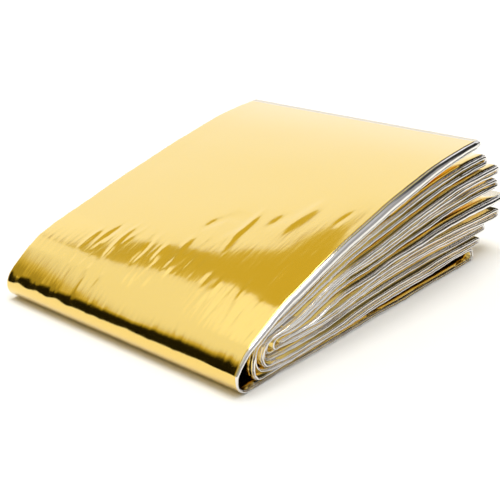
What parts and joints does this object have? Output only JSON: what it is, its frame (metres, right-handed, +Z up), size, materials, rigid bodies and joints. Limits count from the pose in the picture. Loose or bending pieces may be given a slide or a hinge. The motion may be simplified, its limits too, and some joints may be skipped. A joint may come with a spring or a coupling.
{
  "type": "emergency foil blanket",
  "caption": "Folded emergency foil blanket: a wedge-shaped stack of loose metallised leaves, gold outside and silver inside, turned over at one spine.",
  "frame": {"origin": "middle of the bounding box on the surface that the folded blanket lies on", "axes": "+X from the spine to the leaves' loose ends, +Y along the spine, +Z up"},
  "size_m": [0.1484, 0.1018, 0.046],
  "materials": {
    "gold_foil": "polished"
  },
  "bodies": {
    "root": {"foil_blanket": "gold_foil"}
  },
  "joints": []
}
